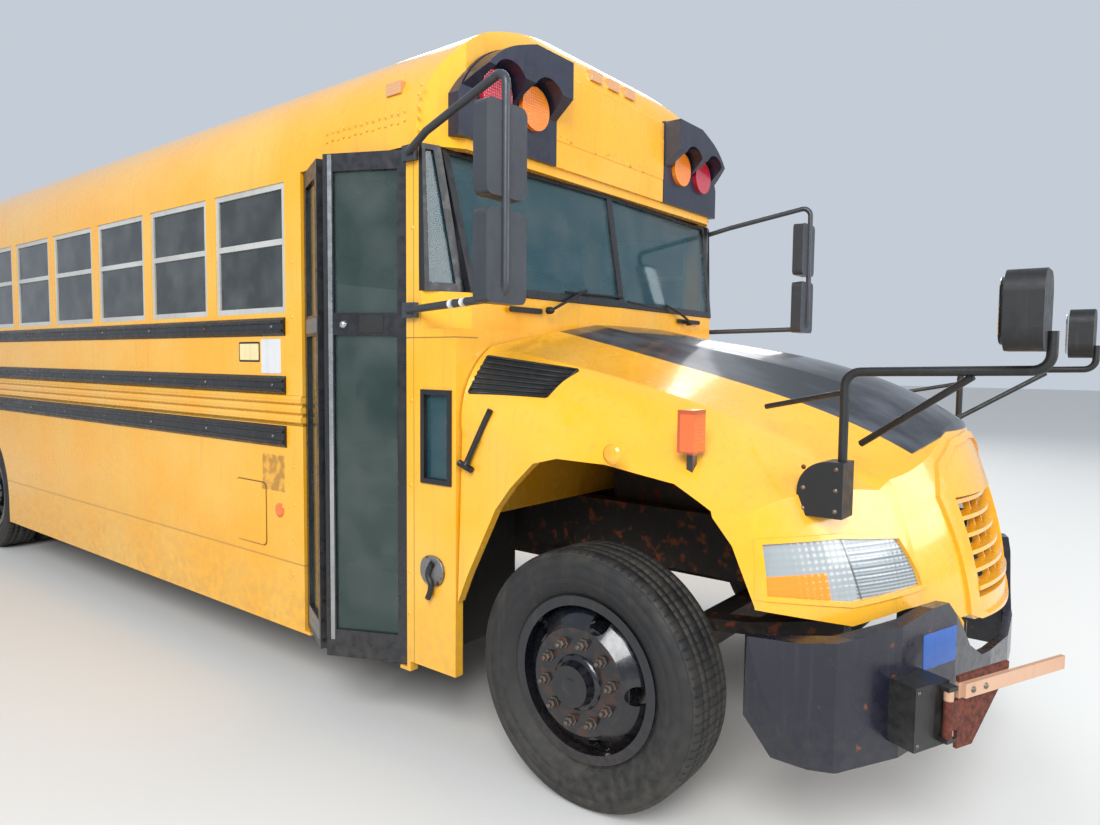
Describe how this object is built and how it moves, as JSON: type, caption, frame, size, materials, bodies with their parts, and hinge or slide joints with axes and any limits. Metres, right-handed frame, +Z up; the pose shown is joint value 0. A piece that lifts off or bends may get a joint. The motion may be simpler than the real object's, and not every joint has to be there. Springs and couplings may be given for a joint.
{
  "type": "school bus",
  "caption": "Conventional school bus with a tilting hood, folding entrance door, rear emergency door, roof hatches and steering front wheels.",
  "frame": {"origin": "on the ground, on the centreline, halfway along the bus", "axes": "+X forward, +Y to the bus's left, +Z up"},
  "size_m": [10.3483, 2.952, 3.1673],
  "materials": {
    "body_yellow": "sun-faded gloss enamel",
    "black_paint": "satin black enamel",
    "chassis_black": "dusty chassis black",
    "engine_iron": "dull",
    "floor_rubber": "ribbed mat",
    "clear_glass": "clear",
    "dark_glass": "dark tint",
    "seat_vinyl": "vinyl",
    "grey_trim": "moulded",
    "black_plastic": "moulded",
    "aluminium_trim": "weathered",
    "tyre_rubber": "dusty",
    "wheel_paint": "worn black with rust",
    "red_lens": "moulded lens",
    "amber_lens": "moulded lens",
    "lamp_lens": "clear lens",
    "mirror_black": "moulded",
    "stop_red": "reflective",
    "galvanised": "dull",
    "arm_tan": "faded"
  },
  "bodies": {
    "body": {"frame_rails": "chassis_black", "crossmembers": "chassis_black", "engine": "engine_iron", "floor": "floor_rubber", "step_well": "floor_rubber", "side_panels": "body_yellow", "window_bands": "body_yellow", "window_sashes": "black_paint", "window_glass": "dark_glass", "roof": "body_yellow", "front_cap": "body_yellow", "rear_wall": "body_yellow", "rear_windows": "dark_glass", "cowl": "body_yellow", "windscreen_frame": "black_paint", "windscreen": "clear_glass", "cowl_window_frames": "black_paint", "dashboard": "grey_trim", "seats": "seat_vinyl", "seat_legs": "aluminium_trim", "rub_rails": "black_paint", "front_bumper": "black_paint", "rear_bumper": "black_paint", "front_axle": "chassis_black", "rear_axle": "chassis_black", "fuel_tank": "chassis_black", "exhaust": "galvanised", "mud_flaps": "floor_rubber", "side_mirrors": "mirror_black", "lamp_housings": "black_paint", "red_lamps": "red_lens", "amber_lamps": "amber_lens", "arm_boxes": "black_plastic"},
    "hood_body": {"hood": "body_yellow", "grille": "body_yellow", "headlamps": "lamp_lens", "hood_markers": "amber_lens", "hood_mirrors": "mirror_black"},
    "door_front_body": {"door_front": "black_paint", "door_front_glass": "clear_glass"},
    "door_rear_body": {"door_rear": "black_paint", "door_rear_glass": "clear_glass"},
    "rear_door_body": {"rear_door": "body_yellow", "rear_door_glass": "dark_glass"},
    "hatch_front_body": {"hatch_front": "body_yellow"},
    "hatch_rear_body": {"hatch_rear": "body_yellow"},
    "stop_arm_body": {"stop_arm": "stop_red"},
    "crossing_arm_body": {"crossing_arm": "arm_tan"},
    "knuckle_right_body": {"knuckle_right": "chassis_black"},
    "knuckle_left_body": {"knuckle_left": "chassis_black"},
    "tie_rod_body": {"tie_rod": "chassis_black"},
    "wheel_front_right_body": {"wheel_front_right": "wheel_paint", "tyre_front_right": "tyre_rubber"},
    "wheel_front_left_body": {"wheel_front_left": "wheel_paint", "tyre_front_left": "tyre_rubber"},
    "wheels_rear_right_body": {"wheels_rear_right": "wheel_paint", "tyres_rear_right": "tyre_rubber"},
    "wheels_rear_left_body": {"wheels_rear_left": "wheel_paint", "tyres_rear_left": "tyre_rubber"}
  },
  "joints": [
    {"name": "steer_right", "type": "hinge", "parent": "body", "child": "knuckle_right_body", "pos_m": [3.8275, -0.85, 0.464], "axis": [0, 0, 1], "range_deg": [-38, 38]},
    {"name": "steer_left", "type": "hinge", "parent": "body", "child": "knuckle_left_body", "pos_m": [3.8275, 0.85, 0.464], "axis": [0, 0, 1], "range_deg": [-38, 38]},
    {"name": "tie_rod_pivot", "type": "hinge", "parent": "knuckle_right_body", "child": "tie_rod_body", "pos_m": [3.6575, -0.85, 0.33], "axis": [0, 0, 1], "range_deg": [-38, 38]},
    {"name": "spin_front_right", "type": "hinge", "parent": "knuckle_right_body", "child": "wheel_front_right_body", "pos_m": [3.8275, -1.048, 0.464], "axis": [0, 1, 0], "continuous": true},
    {"name": "spin_front_left", "type": "hinge", "parent": "knuckle_left_body", "child": "wheel_front_left_body", "pos_m": [3.8275, 1.048, 0.464], "axis": [0, 1, 0], "continuous": true},
    {"name": "spin_rear_right", "type": "hinge", "parent": "body", "child": "wheels_rear_right_body", "pos_m": [-2.2175, -0.914, 0.464], "axis": [0, 1, 0], "continuous": true},
    {"name": "spin_rear_left", "type": "hinge", "parent": "body", "child": "wheels_rear_left_body", "pos_m": [-2.2175, 0.914, 0.464], "axis": [0, 1, 0], "continuous": true},
    {"name": "door_front_hinge", "type": "hinge", "parent": "body", "child": "door_front_body", "pos_m": [2.9665, -1.199, 1.3], "axis": [0, 0, 1], "range_deg": [-25, 60]},
    {"name": "door_rear_hinge", "type": "hinge", "parent": "body", "child": "door_rear_body", "pos_m": [2.3045, -1.199, 1.3], "axis": [0, 0, 1], "range_deg": [-60, 25]},
    {"name": "rear_door_hinge", "type": "hinge", "parent": "body", "child": "rear_door_body", "pos_m": [-5.0495, -0.326, 1.8], "axis": [0, 0, 1], "range_deg": [0, 110]},
    {"name": "hood_tilt", "type": "hinge", "parent": "body", "child": "hood_body", "pos_m": [4.8775, 0, 0.69], "axis": [0, 1, 0], "range_deg": [0, 60]},
    {"name": "hatch_front_hinge", "type": "hinge", "parent": "body", "child": "hatch_front_body", "pos_m": [0.6795, 0, 3.1343], "axis": [0, 1, 0], "range_deg": [0, 60]},
    {"name": "hatch_rear_hinge", "type": "hinge", "parent": "body", "child": "hatch_rear_body", "pos_m": [-2.8205, 0, 3.1343], "axis": [0, 1, 0], "range_deg": [0, 60]},
    {"name": "stop_arm_hinge", "type": "hinge", "parent": "body", "child": "stop_arm_body", "pos_m": [2.0075, 1.253, 1.56], "axis": [0, 0, 1], "range_deg": [-88, 0]},
    {"name": "crossing_arm_hinge", "type": "hinge", "parent": "body", "child": "crossing_arm_body", "pos_m": [4.9348, -0.8231, 0.5525], "axis": [0, 0, 1], "range_deg": [-60, 0]}
  ],
  "couplings": [
    {"joint": "steer_left", "follows": "steer_right", "ratio": 1},
    {"joint": "tie_rod_pivot", "follows": "steer_right", "ratio": -1},
    {"joint": "door_rear_hinge", "follows": "door_front_hinge", "ratio": -1}
  ]
}
